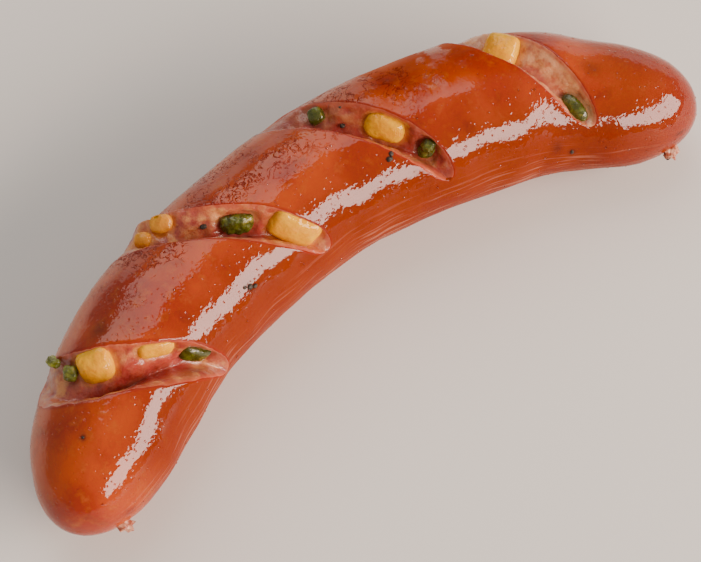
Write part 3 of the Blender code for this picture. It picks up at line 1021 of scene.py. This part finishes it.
def soft_dice(node, tree, relief, body_tree, melt):
    """The rounded piece, sunk back where it stands well out of the meat, and given uneven faces."""
    piece = rounded_piece(node)
    vertices = piece.data.vertices
    flat = node.name in MELTED_FLAT
    if flat:
        out = sum((height_above(body_tree, v.co)[1] for v in vertices), Vector()).normalized()
        piece.data.transform(Matrix.Translation(out * -FLAT_SINK))
    above = []
    for vertex in vertices:
        height, normal = height_above(body_tree, vertex.co)
        above.append(height)
        vertex.co -= normal * (max(height - (FLAT_MELT_FROM if flat else MELT_FROM), 0.0) * melt)
    store(piece, "above", np.array(above))
    store(piece, "pale", np.full(len(above), PALE_PEPPER.get(node.name, 0.0)))
    store(piece, "stained", np.full(len(above), FLAT_STAIN if flat else 0.0))
    made = through_nodes(piece, tree, relief, node.name + "_soft")
    bpy.data.objects.remove(piece)
    return made


def standing_on(s, angle, depth, shift):
    """The matrix that puts a thing upright on the skin, at that place and depth."""
    foot = Vector((place_at(s, angle, depth) + shift).tolist())
    deeper = Vector((place_at(s, angle, depth + NORMAL_STEP) + shift).tolist())
    return Matrix.Translation(foot) @ (foot - deeper).to_track_quat("Z", "Y").to_matrix().to_4x4()


def make_specks(shift):
    """Single bits of pepper, char and spice, as flattened grains."""
    bm = bmesh.new()
    draw = np.random.RandomState(SPECK_SEED)
    for along, around, cut, radius in SPECKS:
        angle = math.radians(around)
        depth = 0.0
        if cut >= 0:
            depth = cut_depth(CUTS[cut], np.array(angle), along)
            along = float(cut_line(CUTS[cut], np.array(angle), along))
        shape = Matrix.Diagonal((*draw.uniform(*SPECK_WIDTHS, 2), SPECK_FLATNESS, 1.0))
        spot = standing_on(along, angle, depth, shift) @ shape
        grain = bmesh.ops.create_icosphere(bm, subdivisions=3, radius=radius, matrix=spot)
        for vertex in grain["verts"]:
            vertex.co += Vector(draw.normal(0, SPECK_LUMPS * radius, 3))
    obj = bpy.data.objects.new("spice_specks", mesh_of(bm, "spice_specks"))
    bpy.context.scene.collection.objects.link(obj)
    obj.data.shade_smooth()
    return obj


def make_stub(name, s, angle, shift):
    """The dry, pleated nub of casing that closes an end."""
    heights, radii = zip(*STUB_SECTION)
    points, faces = [], []
    for i in range(STUB_RINGS + 1):
        share = i / STUB_RINGS
        height = heights[0] + (heights[-1] - heights[0]) * share
        middle = float(np.interp(height, heights, radii))
        for j in range(STUB_SIDES):
            a = 2 * math.pi * j / STUB_SIDES
            pleat = math.cos(STUB_PLEATS * a + 2.0 * share) + 0.5 * math.cos(STUB_FINE_PLEATS * a + share)
            r = middle * (1.0 + STUB_PLEAT_DEPTH * pleat)
            frill = STUB_FRILL * share * math.sin(3 * a + 1.0)
            points.append((r * math.cos(a), STUB_FLATNESS * r * math.sin(a), height + frill))
    for i in range(STUB_RINGS):
        for j in range(STUB_SIDES):
            k = (j + 1) % STUB_SIDES
            low, high = i * STUB_SIDES, (i + 1) * STUB_SIDES
            faces.append((low + j, low + k, high + k, high + j))
    top = STUB_RINGS * STUB_SIDES
    faces.append(tuple(reversed(range(STUB_SIDES))))
    faces.append(tuple(top + j for j in range(STUB_SIDES)))
    obj = mesh_object(name, points, faces)
    obj.data.transform(standing_on(s, angle, 0.0, shift))
    return obj


def keep_piece(piece, slot, *nodes):
    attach(piece, "root")
    if nodes:
        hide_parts(*nodes)


def make_floor():
    corners = [(x * FLOOR_HALF, y * FLOOR_HALF, -FLOOR_DROP) for x, y in ((-1, -1), (1, -1), (1, 1), (-1, 1))]
    floor = mesh_object("floor", corners, [(0, 1, 2, 3)])
    # A matt pale board.
    material, tree, shader = new_material("pale_floor")
    feed(tree, shader, {"Base Color": linear("#DCDAD6"), "Roughness": 0.7})
    floor.data.materials.append(material)


def direction(azimuth, elevation):
    """A unit vector by the angle clockwise from straight away from the camera, and by height, in degrees."""
    turn = math.radians(VIEW_AZIMUTH + TOWARDS_CAMERA - azimuth)
    rise = math.radians(elevation)
    return Vector((math.sin(turn) * math.cos(rise), -math.cos(turn) * math.cos(rise), math.sin(rise)))


def add_light(name, azimuth, elevation, distance, width, height, power, lean, colour):
    """A flat lamp that faces the sausage, turned in its own plane so that its top leans clockwise."""
    light = bpy.data.lights.new(name, "AREA")
    light.shape = "RECTANGLE"
    light.size = width
    light.size_y = height
    light.energy = power
    light.color = linear(colour)[:3]
    lamp = bpy.data.objects.new(name, light)
    bpy.context.scene.collection.objects.link(lamp)
    towards = direction(azimuth, elevation)
    lamp.location = VIEW_POINT + towards * distance
    facing = towards.to_track_quat("Z", "Y").to_matrix() @ Matrix.Rotation(math.radians(lean), 3, "Z")
    lamp.rotation_euler = facing.to_euler()


def make_studio():
    world = bpy.data.worlds.new("studio")
    world.use_nodes = True
    background = world.node_tree.nodes["Background"]
    feed(world.node_tree, background, {"Color": linear(SKY_COLOUR), "Strength": SKY_STRENGTH})
    bpy.context.scene.world = world
    for light in LIGHTS:
        add_light(*light)


def make_camera():
    camera = bpy.data.cameras.new("photo_view")
    camera.lens = LENS_MM
    camera.sensor_width = SENSOR_MM
    holder = bpy.data.objects.new("photo_view", camera)
    bpy.context.scene.collection.objects.link(holder)
    towards = direction(TOWARDS_CAMERA, VIEW_ELEVATION)
    holder.location = VIEW_POINT + towards * VIEW_DISTANCE
    holder.rotation_euler = towards.to_track_quat("Z", "Y").to_euler()
    bpy.context.scene.camera = holder


def main():
    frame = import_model()
    make_camera()
    make_studio()
    make_floor()
    nodes = frame["nodes"]
    shift = frame_shift()
    cheese_nodes = [nodes[name] for name in sorted(nodes) if name.startswith("cheese")]
    pepper_nodes = [nodes[name] for name in sorted(nodes) if name.startswith("pepper")]
    rough_body = make_body_mesh(shift, pieces_tree(cheese_nodes), pieces_tree(pepper_nodes))
    skin_relief = relief_tree(make_casing(), make_meat())
    body = through_nodes(rough_body, skin_relief, BODY_RELIEF, "sausage_body")
    bpy.data.objects.remove(rough_body)
    keep_piece(body, "casing", "sausage")
    keep_piece(through_nodes(body, beads_tree(make_fat()), BEADS, "fat_beads"), "casing")

    specks = make_specks(shift)
    specks.data.materials.append(make_spice())
    keep_piece(specks, "casing")
    dry_casing = make_dry_casing()
    for i, (s, angle) in enumerate(STUBS):
        stub = make_stub(f"casing_nub_{i}", s, angle, shift)
        stub.data.materials.append(dry_casing)
        keep_piece(stub, "casing")

    body_tree = surface_tree([body.data])
    cheese_faces = dice_tree("cheese_faces", make_cheese())
    pepper_faces = dice_tree("pepper_faces", make_pepper())
    for node in cheese_nodes:
        keep_piece(soft_dice(node, cheese_faces, CHEESE_RELIEF, body_tree, CHEESE_MELT), "cheese", node.name)
    for node in pepper_nodes:
        relief = SMOOTH_RELIEF if node.name in SMOOTH_PEPPER else PEPPER_RELIEF
        keep_piece(soft_dice(node, pepper_faces, relief, body_tree, PEPPER_MELT), "pepper", node.name)


main()
